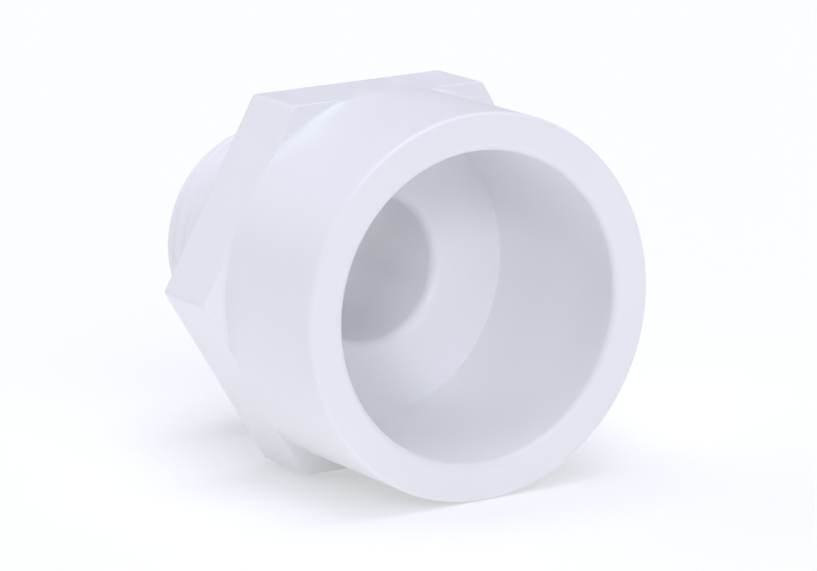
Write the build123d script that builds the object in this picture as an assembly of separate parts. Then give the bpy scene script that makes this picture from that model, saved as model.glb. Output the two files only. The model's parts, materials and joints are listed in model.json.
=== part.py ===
from build123d import *
import math
import os

# Reducing male adapter: 3/4 in slip socket to 1/2 in NPT male thread, one rigid PVC moulding.
# Millimetres. The flow axis lies along X and +X points out of the socket mouth. The origin is
# the centre of the mouth face, and two of the six wrench flats face +Z and -Z.
# The four nodes are regions of the one moulding. They meet face to face, with no gap or overlap.

# Stations along the flow axis, measured back from the mouth face
OVERALL_LENGTH = 37.4
SOCKET_DEPTH = 18.5  # mouth face to pipe stop, at least 18.26 for this size
COLLAR_FRONT = 14.4
COLLAR_WIDTH = 7.4

# Socket
SOCKET_OD = 33.3
SOCKET_BORE = 26.72  # mean of the 26.87 entrance and the 26.57 bottom of the standard taper
MOUTH_INNER_ROUND = 0.7
MOUTH_OUTER_ROUND = 0.4
STOP_CORNER_ROUND = 0.8

# Waterway through the stop and the threaded end
WATERWAY_BORE = 13.0
WATERWAY_ENTRY_ROUND = 1.0
WATERWAY_EXIT_CHAMFER = 0.4

# Hex collar
ACROSS_FLATS = 32.4
HEX_CORNER_ROUND = 0.5
COLLAR_BACK_ROUND = 0.4

# 1/2-14 NPT thread, right-hand, with a plain neck against the collar
THREADS_PER_INCH = 14
THREAD_TAPER = 1 / 16  # growth in diameter per unit length
PITCH_DIAMETER_AT_NOSE = 19.264
THREAD_HEIGHT = 1.35
ROOT_FLAT = 0.12
FLANK_ANGLE = 30
NOSE_CHAMFER = 0.7
NECK_LENGTH = 1.3
NECK_ROUND = 0.6

# The thread cutter stands proud of the crests so that it leaves no skin on them
CUTTER_FLANK_OVERRUN = 0.04
CUTTER_OVERCUT = 0.4
CUTTER_LEAD_TURNS = 1.5

pitch = 25.4 / THREADS_PER_INCH
taper_angle = math.degrees(math.atan(THREAD_TAPER / 2))
collar_back = COLLAR_FRONT + COLLAR_WIDTH
stop_radius = SOCKET_BORE / 2 - STOP_CORNER_ROUND


def drum(radius, front, back):
    """A plain cylinder around the flow axis between two stations."""
    return extrude(Plane.YZ.offset(-back) * Circle(radius), back - front)


def rim(solid, radius, station):
    """The circular edges of a solid at one radius and one station."""
    circles = solid.edges().filter_by(GeomType.CIRCLE)
    at_station = [e for e in circles if abs(e.arc_center.X + station) < 0.01]
    return [e for e in at_station if abs(e.radius - radius) < 0.01]


def pitch_radius(station):
    """Thread pitch radius at a station. It grows away from the nose."""
    return (PITCH_DIAMETER_AT_NOSE + (OVERALL_LENGTH - station) * THREAD_TAPER) / 2


def make_socket():
    """The sleeve that the pipe slips into, from the mouth to the collar."""
    sleeve = drum(SOCKET_OD / 2, 0, COLLAR_FRONT) - drum(SOCKET_BORE / 2, 0, COLLAR_FRONT)
    sleeve = fillet(rim(sleeve, SOCKET_BORE / 2, 0), MOUTH_INNER_ROUND)
    return fillet(rim(sleeve, SOCKET_OD / 2, 0), MOUTH_OUTER_ROUND)


def make_hex_collar():
    """The wrench collar, with the last part of the socket bore and its rounded corner."""
    hexagon = RegularPolygon(ACROSS_FLATS / 2, 6, major_radius=False)
    hexagon = fillet(hexagon.vertices(), HEX_CORNER_ROUND)
    collar = extrude(Plane.YZ.offset(-collar_back) * hexagon, COLLAR_WIDTH)
    back_face = collar.faces().sort_by(Axis.X)[0]
    collar = fillet(back_face.edges(), COLLAR_BACK_ROUND)
    pipe_space = drum(SOCKET_BORE / 2, 0, SOCKET_DEPTH)
    collar -= fillet(rim(pipe_space, SOCKET_BORE / 2, SOCKET_DEPTH), STOP_CORNER_ROUND)
    return collar - drum(stop_radius, SOCKET_DEPTH, collar_back)


def make_pipe_stop():
    """The web that the pipe end seats on, with the way into the waterway."""
    web = drum(stop_radius, SOCKET_DEPTH, collar_back) - drum(WATERWAY_BORE / 2, SOCKET_DEPTH, collar_back)
    return fillet(rim(web, WATERWAY_BORE / 2, SOCKET_DEPTH), WATERWAY_ENTRY_ROUND)


def make_thread_blank():
    """The threaded end before its groove: a hollow taper with a neck and a chamfered nose."""
    neck_radius = pitch_radius(collar_back) - THREAD_HEIGHT / 2
    neck_end = collar_back + NECK_LENGTH
    crest_at_neck = pitch_radius(neck_end) + THREAD_HEIGHT / 2
    crest_at_nose = pitch_radius(OVERALL_LENGTH) + THREAD_HEIGHT / 2
    shoulder = neck_end + crest_at_neck - neck_radius
    sagitta = NECK_ROUND * (1 - math.sqrt(0.5))
    neck_arc = ThreePointArc(
        (-collar_back, neck_radius + NECK_ROUND),
        (-collar_back - sagitta, neck_radius + sagitta),
        (-collar_back - NECK_ROUND, neck_radius),
    )
    outside = Polyline(
        neck_arc @ 1,
        (-neck_end, neck_radius),
        (-shoulder, crest_at_neck),
        (-OVERALL_LENGTH + NOSE_CHAMFER, crest_at_nose),
        (-OVERALL_LENGTH, crest_at_nose - NOSE_CHAMFER),
        (-OVERALL_LENGTH, WATERWAY_BORE / 2 + WATERWAY_EXIT_CHAMFER),
        (-OVERALL_LENGTH + WATERWAY_EXIT_CHAMFER, WATERWAY_BORE / 2),
        (-collar_back, WATERWAY_BORE / 2),
        neck_arc @ 0,
    )
    return revolve(make_face(neck_arc + outside), Axis.X)


def groove_turn(front, back):
    """One turn, or less, of the helical groove between the threads."""
    path = Helix(
        pitch=pitch,
        height=front - back,
        radius=pitch_radius(front),
        center=(-front, 0, 0),
        direction=(1, 0, 0),
        cone_angle=taper_angle,
    )
    root = -THREAD_HEIGHT / 2
    shoulder = THREAD_HEIGHT / 2 + CUTTER_FLANK_OVERRUN
    root_half = ROOT_FLAT / 2
    shoulder_half = root_half + (shoulder - root) * math.tan(math.radians(FLANK_ANGLE))
    outline = Polyline(
        (-root_half, root),
        (root_half, root),
        (shoulder_half, shoulder),
        (shoulder_half, shoulder + CUTTER_OVERCUT),
        (-shoulder_half, shoulder + CUTTER_OVERCUT),
        (-shoulder_half, shoulder),
        close=True,
    )
    section_plane = Plane(origin=path @ 0, x_dir=(1, 0, 0), z_dir=path % 0)
    return sweep(section_plane * make_face(outline), path=path, is_frenet=True)


def make_threaded_end():
    """The 1/2-14 NPT male end. Its groove runs off the nose and out into the neck."""
    end = make_thread_blank()
    front = OVERALL_LENGTH + CUTTER_LEAD_TURNS * pitch
    last = collar_back + NECK_LENGTH / 2
    while front > last + 0.01:
        back = max(front - pitch, last)
        end -= groove_turn(front, back)
        front = back
    return end


os.makedirs("parts", exist_ok=True)
export_step(make_socket(), "parts/socket.step")
export_step(make_hex_collar(), "parts/hex_collar.step")
export_step(make_pipe_stop(), "parts/pipe_stop.step")
export_step(make_threaded_end(), "parts/threaded_end.step")
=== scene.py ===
import json
import math

import bmesh
import bpy
from mathutils import Matrix, Vector


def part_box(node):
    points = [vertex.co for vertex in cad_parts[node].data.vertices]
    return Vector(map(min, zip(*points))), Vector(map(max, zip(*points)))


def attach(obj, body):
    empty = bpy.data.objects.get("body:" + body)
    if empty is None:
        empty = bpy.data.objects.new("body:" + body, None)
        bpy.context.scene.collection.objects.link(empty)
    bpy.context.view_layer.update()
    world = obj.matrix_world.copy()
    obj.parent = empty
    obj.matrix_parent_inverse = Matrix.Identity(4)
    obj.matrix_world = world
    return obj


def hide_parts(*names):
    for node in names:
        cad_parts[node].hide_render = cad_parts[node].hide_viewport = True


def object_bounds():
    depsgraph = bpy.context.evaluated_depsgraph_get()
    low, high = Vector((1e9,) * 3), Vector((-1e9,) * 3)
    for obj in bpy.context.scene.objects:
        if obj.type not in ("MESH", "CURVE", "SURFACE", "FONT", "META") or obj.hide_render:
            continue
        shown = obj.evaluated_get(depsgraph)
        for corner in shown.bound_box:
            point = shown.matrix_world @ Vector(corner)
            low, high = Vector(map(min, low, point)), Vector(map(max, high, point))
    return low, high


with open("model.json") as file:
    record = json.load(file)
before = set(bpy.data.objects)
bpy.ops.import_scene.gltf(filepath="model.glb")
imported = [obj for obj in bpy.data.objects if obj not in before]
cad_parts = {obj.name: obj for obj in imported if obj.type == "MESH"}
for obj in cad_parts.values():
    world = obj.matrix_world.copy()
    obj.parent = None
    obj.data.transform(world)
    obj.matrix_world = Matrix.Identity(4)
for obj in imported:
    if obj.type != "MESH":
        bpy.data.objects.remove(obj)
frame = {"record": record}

cad_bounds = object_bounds()

# The fitting is one moulding. Its visible skin is rebuilt here as four closed pieces that share their
# angles round the axis, so that the joins between them do not show.
# Metres, in the CAD frame: the flow axis is X, the mouth is at x = 0 and the thread end at -X.

MM = 0.001

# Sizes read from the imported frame
mounts = {m["name"]: m for m in frame["record"]["mounts"]}
socket_low, socket_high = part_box("socket")
collar_low, collar_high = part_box("hex_collar")
_, stop_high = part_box("pipe_stop")
end_low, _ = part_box("threaded_end")

MOUTH_X = socket_high[0]
COLLAR_FRONT_X = socket_low[0]
STOP_X = stop_high[0]
COLLAR_BACK_X = collar_low[0]
NOSE_X = end_low[0]
SOCKET_R = socket_high[2]
BORE_R = mounts["socket"]["dims"]["r_mm"] * MM
STOP_R = stop_high[2]
WATERWAY_R = mounts["waterway"]["dims"]["r_mm"] * MM
APOTHEM = collar_high[2]

# Edge rounds of the moulding. The photo shows no rounded band round the socket floor, so that corner is
# nearly sharp here.
LIP_ROUND = 0.7 * MM
RIM_ROUND = 0.4 * MM
FLOOR_CORNER_ROUND = 0.06 * MM
HEX_CORNER_ROUND = 0.5 * MM
COLLAR_BACK_ROUND = 0.4 * MM
COLLAR_FRONT_ROUND = 0.15 * MM
ROOT_FLARE = 0.3 * MM
WATERWAY_ENTRY_ROUND = 1.0 * MM
WATERWAY_EXIT_ROUND = 0.4 * MM
LEAST_ROUND = 0.01 * MM

# 1/2-14 NPT thread: 1 in 16 taper on diameter, 60 degree flanks
PITCH = 25.4 * MM / 14
TAPER = 1 / 32
PITCH_R_AT_NOSE = 9.632 * MM
THREAD_HEIGHT = 1.35 * MM
FLANK_ANGLE = math.radians(30)
ROOT_HALF_WIDTH = 0.06 * MM
THREAD_ROUND = 0.13 * MM
NOSE_CHAMFER = 0.7 * MM
NECK_LENGTH = 1.3 * MM
NECK_ROUND = 0.6 * MM
GROOVE_LEAD_TURNS = 1.5

# Fineness of the meshes
ROWS_PER_PITCH = 28
FLAT_STEPS = 36
HEX_CORNER_STEPS = 6
ROOT_FLARE_STEPS = 6
SHARP_EDGE_ANGLE = math.radians(38)
MERGE_DISTANCE = 0.0005 * MM
SHORTEST_EDGE = 0.0004 * MM

HEX_SIDE_ANGLE = math.radians(60)
HALF_SIDE_ANGLE = HEX_SIDE_ANGLE / 2


# ---- angles shared by every piece ----

def hex_corner_half_angle():
    """Half of the angle that a rounded hex corner takes up, seen from the axis."""
    half_flat = (APOTHEM - HEX_CORNER_ROUND) * math.tan(HALF_SIDE_ANGLE)
    return HALF_SIDE_ANGLE - math.atan2(half_flat, APOTHEM)


HALF_CORNER = hex_corner_half_angle()


def station_angles():
    """Angles from +Y towards +Z, finer across the rounded hex corners."""
    flat = HEX_SIDE_ANGLE - 2 * HALF_CORNER
    angles = []
    for corner in range(6):
        middle = HEX_SIDE_ANGLE * corner
        for step in range(HEX_CORNER_STEPS):
            angles.append(middle - HALF_CORNER + 2 * HALF_CORNER * step / HEX_CORNER_STEPS)
        for step in range(FLAT_STEPS):
            angles.append(middle + HALF_CORNER + flat * step / FLAT_STEPS)
    return angles


ANGLES = station_angles()


def hex_radius(angle):
    """Distance from the axis to the rounded hexagon. Its corners lie at multiples of 60 degrees from +Y."""
    off_corner = (angle + HALF_SIDE_ANGLE) % HEX_SIDE_ANGLE - HALF_SIDE_ANGLE
    if abs(off_corner) >= HALF_CORNER:
        return APOTHEM / math.cos(HALF_SIDE_ANGLE - abs(off_corner))
    centre = (APOTHEM - HEX_CORNER_ROUND) / math.cos(HALF_SIDE_ANGLE)
    across = centre * math.sin(off_corner)
    return centre * math.cos(off_corner) + math.sqrt(HEX_CORNER_ROUND ** 2 - across ** 2)


def smooth(low, high, value):
    """Goes from 0 to 1 as value goes from low to high."""
    t = min(max((value - low) / (high - low), 0), 1)
    return t * t * (3 - 2 * t)


# ---- profiles: lists of (x, radius) points, run round the section of a piece ----

def arc(centre, radius, start, end, steps=8):
    """Points on an arc in the (x, r) plane, angles in degrees, both ends included."""
    points = []
    for step in range(steps + 1):
        a = math.radians(start + (end - start) * step / steps)
        points.append((centre[0] + radius * math.cos(a), centre[1] + radius * math.sin(a)))
    return points


def line(start, end, steps):
    """Points between two ends, neither included."""
    points = []
    for step in range(1, steps):
        t = step / steps
        points.append((start[0] + (end[0] - start[0]) * t, start[1] + (end[1] - start[1]) * t))
    return points


def socket_section(angle):
    """The sleeve in front of the collar. Its root flares out where the hexagon stands clear of it."""
    flare = ROOT_FLARE * smooth(SOCKET_R, SOCKET_R + 2 * ROOT_FLARE, hex_radius(angle))
    bore_end = (COLLAR_FRONT_X, BORE_R)
    lip = arc((MOUTH_X - LIP_ROUND, BORE_R + LIP_ROUND), LIP_ROUND, -90, 0)
    rim = arc((MOUTH_X - RIM_ROUND, SOCKET_R - RIM_ROUND), RIM_ROUND, 0, 90)
    root = []
    for step in range(ROOT_FLARE_STEPS):
        a = math.radians(90) * step / ROOT_FLARE_STEPS
        root.append((COLLAR_FRONT_X + ROOT_FLARE - flare * math.sin(a), SOCKET_R + flare * (1 - math.cos(a))))
    root.append((COLLAR_FRONT_X, SOCKET_R + flare))
    wall = line(rim[-1], root[0], 6)
    return [bore_end] + line(bore_end, lip[0], 6) + lip + rim + wall + root


def collar_section(angle):
    """The hexagon outside, and the last of the socket bore with its floor corner inside."""
    outer = hex_radius(angle)
    front_round = COLLAR_FRONT_ROUND * smooth(SOCKET_R, SOCKET_R + 3 * ROOT_FLARE, outer)
    front_round = max(front_round, LEAST_ROUND)
    front = arc((COLLAR_FRONT_X - front_round, outer - front_round), front_round, 0, 90, 4)
    back = arc((COLLAR_BACK_X + COLLAR_BACK_ROUND, outer - COLLAR_BACK_ROUND), COLLAR_BACK_ROUND, 90, 180, 6)
    seam = [(COLLAR_BACK_X, STOP_R), (STOP_X, STOP_R)]
    corner_centre = (STOP_X + FLOOR_CORNER_ROUND, BORE_R - FLOOR_CORNER_ROUND)
    corner = arc(corner_centre, FLOOR_CORNER_ROUND, 180, 90)
    return front + line(front[-1], back[0], 4) + back + seam + corner + [(COLLAR_FRONT_X, BORE_R)]


def stop_section(angle):
    """The disc behind the socket floor with its rounded way into the waterway, the same at every angle."""
    entry_r = WATERWAY_R + WATERWAY_ENTRY_ROUND
    entry = arc((STOP_X - WATERWAY_ENTRY_ROUND, entry_r), WATERWAY_ENTRY_ROUND, 0, -90)
    face = [(STOP_X, STOP_R)] + line((STOP_X, STOP_R), entry[0], 4)
    return [(COLLAR_BACK_X, STOP_R)] + face + entry + [(COLLAR_BACK_X, WATERWAY_R)]


def pitch_radius(x):
    """Half of the tapered thread's pitch diameter at a station."""
    return PITCH_R_AT_NOSE + (x - NOSE_X) * TAPER


def rounded_ramp(value, width):
    """max(value, 0) with its corner rounded over a width."""
    if value <= -width / 2:
        return 0.0
    if value >= width / 2:
        return value
    return (value + width / 2) ** 2 / (2 * width)


def thread_height(from_groove):
    """Height above the thread root, at a distance along the axis from the groove's middle."""
    slope = 1 / math.tan(FLANK_ANGLE)
    rise = rounded_ramp(from_groove - ROOT_HALF_WIDTH, THREAD_ROUND) * slope
    crest = ROOT_HALF_WIDTH + THREAD_HEIGHT / slope
    return rise - rounded_ramp(from_groove - crest, THREAD_ROUND) * slope


def thread_envelope(x):
    """The largest radius that the nose chamfer and the neck leave at a station."""
    neck_r = pitch_radius(COLLAR_BACK_X) - THREAD_HEIGHT / 2
    crest_r = pitch_radius(NOSE_X) + THREAD_HEIGHT / 2
    from_nose = crest_r - NOSE_CHAMFER + (x - NOSE_X)
    from_neck = neck_r + max(COLLAR_BACK_X - NECK_LENGTH - x, 0)
    return min(from_nose, from_neck)


def thread_point(x, angle):
    """A point of the threaded surface, kept between the nose and the neck."""
    x = min(max(x, NOSE_X), COLLAR_BACK_X - NECK_ROUND)
    groove = (x - NOSE_X) / PITCH + GROOVE_LEAD_TURNS - (angle / math.tau - 0.25)
    from_groove = abs(groove - round(groove)) * PITCH
    surface = pitch_radius(x) - THREAD_HEIGHT / 2 + thread_height(from_groove)
    return x, min(surface, thread_envelope(x))


def end_section(angle):
    """The threaded end's rows follow the helix, so row numbers shift by one pitch in each turn."""
    turns = math.ceil((COLLAR_BACK_X - NOSE_X) / PITCH) + 2
    shift = angle / math.tau
    rows = []
    for row in range(-ROWS_PER_PITCH, turns * ROWS_PER_PITCH + 1):
        rows.append(thread_point(NOSE_X + (row / ROWS_PER_PITCH + shift) * PITCH, angle))
    neck_r = pitch_radius(COLLAR_BACK_X) - THREAD_HEIGHT / 2
    neck = arc((COLLAR_BACK_X - NECK_ROUND, neck_r + NECK_ROUND), NECK_ROUND, -90, 0, 6)
    exit_r = WATERWAY_R + WATERWAY_EXIT_ROUND
    exit_arc = arc((NOSE_X + WATERWAY_EXIT_ROUND, exit_r), WATERWAY_EXIT_ROUND, 270, 180, 5)
    back = [(COLLAR_BACK_X, WATERWAY_R)]
    return rows, neck[1:], back + line(back[0], exit_arc[0], 4) + exit_arc


def place(x, radius, angle):
    """A section point turned to its angle round the flow axis."""
    return Vector((x, radius * math.cos(angle), radius * math.sin(angle)))


# ---- meshes ----

def finish_mesh(name, bm, nodes, material):
    """Turns a bmesh into a piece that rides on the root body and stands for CAD nodes."""
    bmesh.ops.remove_doubles(bm, verts=bm.verts, dist=MERGE_DISTANCE)
    bmesh.ops.dissolve_degenerate(bm, edges=bm.edges, dist=SHORTEST_EDGE)
    bmesh.ops.recalc_face_normals(bm, faces=bm.faces)
    mesh = bpy.data.meshes.new(name)
    bm.to_mesh(mesh)
    bm.free()
    mesh.shade_smooth()
    mesh.set_sharp_from_angle(angle=SHARP_EDGE_ANGLE)
    piece = bpy.data.objects.new(name, mesh)
    bpy.context.scene.collection.objects.link(piece)
    weighted = piece.modifiers.new("flat faces stay flat", "WEIGHTED_NORMAL")
    weighted.keep_sharp = True
    mesh.materials.append(material)
    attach(piece, "root")
    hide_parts(*nodes)
    return piece


def loop_piece(name, section, nodes, material):
    """A closed ring solid: the same number of section points at every angle, joined both ways."""
    bm = bmesh.new()
    columns = []
    for angle in ANGLES:
        columns.append([bm.verts.new(place(x, r, angle)) for x, r in section(angle)])
    for here, there in zip(columns, columns[1:] + columns[:1]):
        for k in range(len(here)):
            after = (k + 1) % len(here)
            bm.faces.new((here[k], here[after], there[after], there[k]))
    return finish_mesh(name, bm, nodes, material)


def threaded_piece(name, nodes, material):
    """The threaded end. At the wrap, each row meets the row one pitch further along the helix."""
    bm = bmesh.new()
    thread_columns, rest_columns = [], []
    for angle in ANGLES:
        rows, neck, inside = end_section(angle)
        thread_columns.append([bm.verts.new(place(x, r, angle)) for x, r in rows])
        rest_columns.append([bm.verts.new(place(x, r, angle)) for x, r in neck + inside])
    count = len(ANGLES)
    last_row = len(thread_columns[0]) - 1
    for c in range(count):
        here, there = thread_columns[c], thread_columns[(c + 1) % count]
        shift = ROWS_PER_PITCH if c == count - 1 else 0
        for k in range(last_row):
            pair = (min(k + shift, last_row), min(k + 1 + shift, last_row))
            corners = [here[k], here[k + 1], there[pair[1]], there[pair[0]]]
            if len(set(corners)) >= 3:
                bm.faces.new(list(dict.fromkeys(corners)))
        inner, inner_next = rest_columns[c], rest_columns[(c + 1) % count]
        for k in range(len(inner) - 1):
            bm.faces.new((inner[k], inner[k + 1], inner_next[k + 1], inner_next[k]))
        bm.faces.new((here[last_row], inner[0], inner_next[0], there[last_row]))
        bm.faces.new((inner[-1], here[0], there[0], inner_next[-1]))
    return finish_mesh(name, bm, nodes, material)


# ---- material ----

def noise(tree, coordinates, scale, detail):
    """A noise texture fixed to the piece. The scale is in cells per metre."""
    node = tree.nodes.new("ShaderNodeTexNoise")
    node.inputs["Scale"].default_value = scale
    node.inputs["Detail"].default_value = detail
    tree.links.new(coordinates.outputs["Object"], node.inputs["Vector"])
    return node


def pvc_material():
    """Moulded white rigid PVC: satin skin, faint flow clouding, uneven gloss and a fine bump."""
    material = bpy.data.materials.new("moulded_white_pvc")
    material.use_nodes = True
    tree = material.node_tree
    shader = tree.nodes["Principled BSDF"]
    shader.inputs["IOR"].default_value = 1.53
    coordinates = tree.nodes.new("ShaderNodeTexCoord")

    clouds = noise(tree, coordinates, scale=90, detail=4)
    clouds.inputs["Roughness"].default_value = 0.55
    tint = tree.nodes.new("ShaderNodeValToRGB")
    tint.color_ramp.elements[0].position = 0.3
    tint.color_ramp.elements[0].color = (0.93, 0.935, 0.94, 1)
    tint.color_ramp.elements[1].position = 0.7
    tint.color_ramp.elements[1].color = (0.95, 0.955, 0.96, 1)
    tree.links.new(clouds.outputs["Fac"], tint.inputs["Fac"])
    tree.links.new(tint.outputs["Color"], shader.inputs["Base Color"])

    patches = noise(tree, coordinates, scale=420, detail=3)
    gloss = tree.nodes.new("ShaderNodeMapRange")
    gloss.inputs["From Min"].default_value = 0.3
    gloss.inputs["From Max"].default_value = 0.7
    gloss.inputs["To Min"].default_value = 0.34
    gloss.inputs["To Max"].default_value = 0.46
    tree.links.new(patches.outputs["Fac"], gloss.inputs["Value"])
    tree.links.new(gloss.outputs["Result"], shader.inputs["Roughness"])

    skin = noise(tree, coordinates, scale=1600, detail=2)
    bump = tree.nodes.new("ShaderNodeBump")
    bump.inputs["Strength"].default_value = 0.12
    bump.inputs["Distance"].default_value = 0.02 * MM
    tree.links.new(skin.outputs["Fac"], bump.inputs["Height"])
    tree.links.new(bump.outputs["Normal"], shader.inputs["Normal"])
    return material


pvc = pvc_material()
loop_piece("socket_moulding", socket_section, ["socket"], pvc)
loop_piece("hex_collar_moulding", collar_section, ["hex_collar"], pvc)
loop_piece("pipe_stop_moulding", stop_section, ["pipe_stop"], pvc)
threaded_piece("threaded_end_moulding", ["threaded_end"], pvc)


# ---- stage ----

FLOOR_HALF = 3.0
FLOOR_GREY = 0.8
FLOOR_GLOW = 0.25


def make_floor():
    """A matt pale floor under the lowest point of the part. Its glow keeps it near white."""
    z = cad_bounds[0][2]
    mesh = bpy.data.meshes.new("floor")
    corners = [(-FLOOR_HALF, -FLOOR_HALF, z), (FLOOR_HALF, -FLOOR_HALF, z),
               (FLOOR_HALF, FLOOR_HALF, z), (-FLOOR_HALF, FLOOR_HALF, z)]
    mesh.from_pydata(corners, [], [(0, 1, 2, 3)])
    floor = bpy.data.objects.new("floor", mesh)
    bpy.context.scene.collection.objects.link(floor)
    material = bpy.data.materials.new("pale_floor")
    material.use_nodes = True
    shader = material.node_tree.nodes["Principled BSDF"]
    shader.inputs["Base Color"].default_value = (FLOOR_GREY, FLOOR_GREY, FLOOR_GREY, 1)
    shader.inputs["Roughness"].default_value = 1.0
    shader.inputs["Specular IOR Level"].default_value = 0.0
    shader.inputs["Emission Color"].default_value = (1, 1, 1, 1)
    shader.inputs["Emission Strength"].default_value = FLOOR_GLOW
    mesh.materials.append(material)


# The camera's direction from the mouth, and the small sideways shift that frames the part as in the photo
CAMERA_AZIMUTH = math.radians(59.3)
CAMERA_ELEVATION = math.radians(12.9)
CAMERA_ROLL = math.radians(1.4)
CAMERA_DISTANCE = 376.5 * MM
MOUTH_RIGHT_OF_AXIS = 6.19 * MM
MOUTH_BELOW_AXIS = 1.95 * MM
LENS_MM = 198.3
SENSOR_MM = 36
NEAREST_SEEN = 10 * MM


def make_camera():
    """Looks into the socket mouth from +X and -Y, a little above the axis and slightly rolled."""
    data = bpy.data.cameras.new("camera")
    data.lens = LENS_MM
    data.sensor_width = SENSOR_MM
    data.clip_start = NEAREST_SEEN
    camera = bpy.data.objects.new("camera", data)
    sine, cosine = math.sin(CAMERA_AZIMUTH), math.cos(CAMERA_AZIMUTH)
    level = math.cos(CAMERA_ELEVATION)
    back = Vector((sine * level, -cosine * level, math.sin(CAMERA_ELEVATION)))
    level_right = Vector((cosine, sine, 0))
    right = Matrix.Rotation(-CAMERA_ROLL, 3, back) @ level_right
    up = back.cross(right)
    spot = back * CAMERA_DISTANCE - right * MOUTH_RIGHT_OF_AXIS + up * MOUTH_BELOW_AXIS
    turn = Matrix((right, up, back)).transposed().to_4x4()
    camera.matrix_world = Matrix.Translation(spot) @ turn
    bpy.context.scene.collection.objects.link(camera)
    bpy.context.scene.camera = camera


LIGHT_COLOUR = (0.95, 0.967, 1.083)
LIGHT_SPREAD = math.radians(50)
WORLD_BRIGHTNESS = 0.25
BEAM_DISTANCE = 0.5
BEAM_LAMP_R = 2 * MM
BEAM_EDGE_SOFTNESS = 0.6


def soft_light(name, direction, brightness):
    """A wide, slightly cool light far off in a direction. A white face square to it gets the brightness."""
    data = bpy.data.lights.new(name, "SUN")
    data.energy = math.pi * brightness
    data.angle = LIGHT_SPREAD
    data.color = LIGHT_COLOUR
    light = bpy.data.objects.new(name, data)
    light.rotation_euler = Vector(direction).to_track_quat("Z", "Y").to_euler()
    bpy.context.scene.collection.objects.link(light)


def socket_beam(direction, power):
    """A small soft-edged lamp whose beam goes in at the socket mouth and clears the rim.

    It makes up for light that would go on bouncing between the white walls inside.
    """
    direction = Vector(direction).normalized()
    data = bpy.data.lights.new("socket_beam", "SPOT")
    data.energy = power
    data.color = LIGHT_COLOUR
    data.shadow_soft_size = BEAM_LAMP_R
    data.spot_size = 2 * math.atan((BORE_R - LIP_ROUND) * direction.x / BEAM_DISTANCE)
    data.spot_blend = BEAM_EDGE_SOFTNESS
    light = bpy.data.objects.new("socket_beam", data)
    light.location = direction * BEAM_DISTANCE
    light.rotation_euler = direction.to_track_quat("Z", "Y").to_euler()
    bpy.context.scene.collection.objects.link(light)


def make_world():
    """Even light from all round, in the colour of the lamps."""
    world = bpy.data.worlds.new("studio")
    world.use_nodes = True
    background = world.node_tree.nodes["Background"]
    background.inputs["Color"].default_value = (*LIGHT_COLOUR, 1)
    background.inputs["Strength"].default_value = WORLD_BRIGHTNESS
    bpy.context.scene.world = world


make_floor()
make_camera()
make_world()
soft_light("key", (0.75, -0.2, 0.65), 0.26)
soft_light("overhead", (0, 0, 1), 0.4)
soft_light("right_back", (0, 0.8, 0.7), 0.08)
soft_light("left_back", (-0.6, -0.5, 0.6), 0.13)
socket_beam((0.82, -0.52, 0.25), 1.6)
bpy.context.scene.view_settings.view_transform = "Standard"
